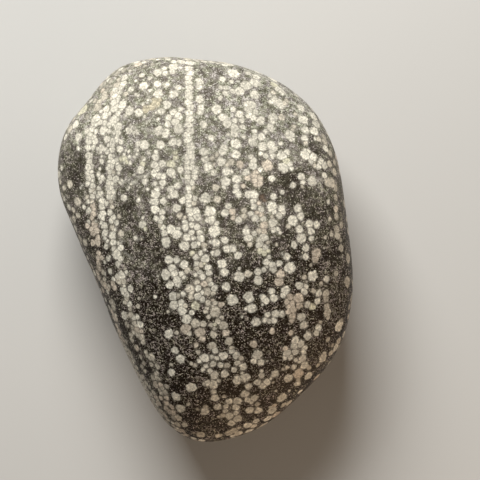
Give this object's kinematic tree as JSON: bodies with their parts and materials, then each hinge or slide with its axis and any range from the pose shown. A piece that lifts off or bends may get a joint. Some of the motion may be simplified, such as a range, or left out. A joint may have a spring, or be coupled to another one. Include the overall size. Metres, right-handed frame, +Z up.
{
  "type": "snowflake obsidian pebble",
  "caption": "Water-worn pebble of black volcanic glass full of pale round mineral spots, lying on its flatter side.",
  "frame": {"origin": "middle of the bounding box's base, on the surface the stone rests on", "axes": "+Y along the stone's long side, away from a viewer who sees its widest end at the top; +X to that viewer's right; +Z up, through the stone's thickness"},
  "size_m": [0.0368, 0.048, 0.019],
  "materials": {
    "obsidian": "water-worn black glass with a fine matt frosting, full of flush beige-grey mineral spots"
  },
  "bodies": {
    "root": {"stone": "obsidian"}
  },
  "joints": []
}
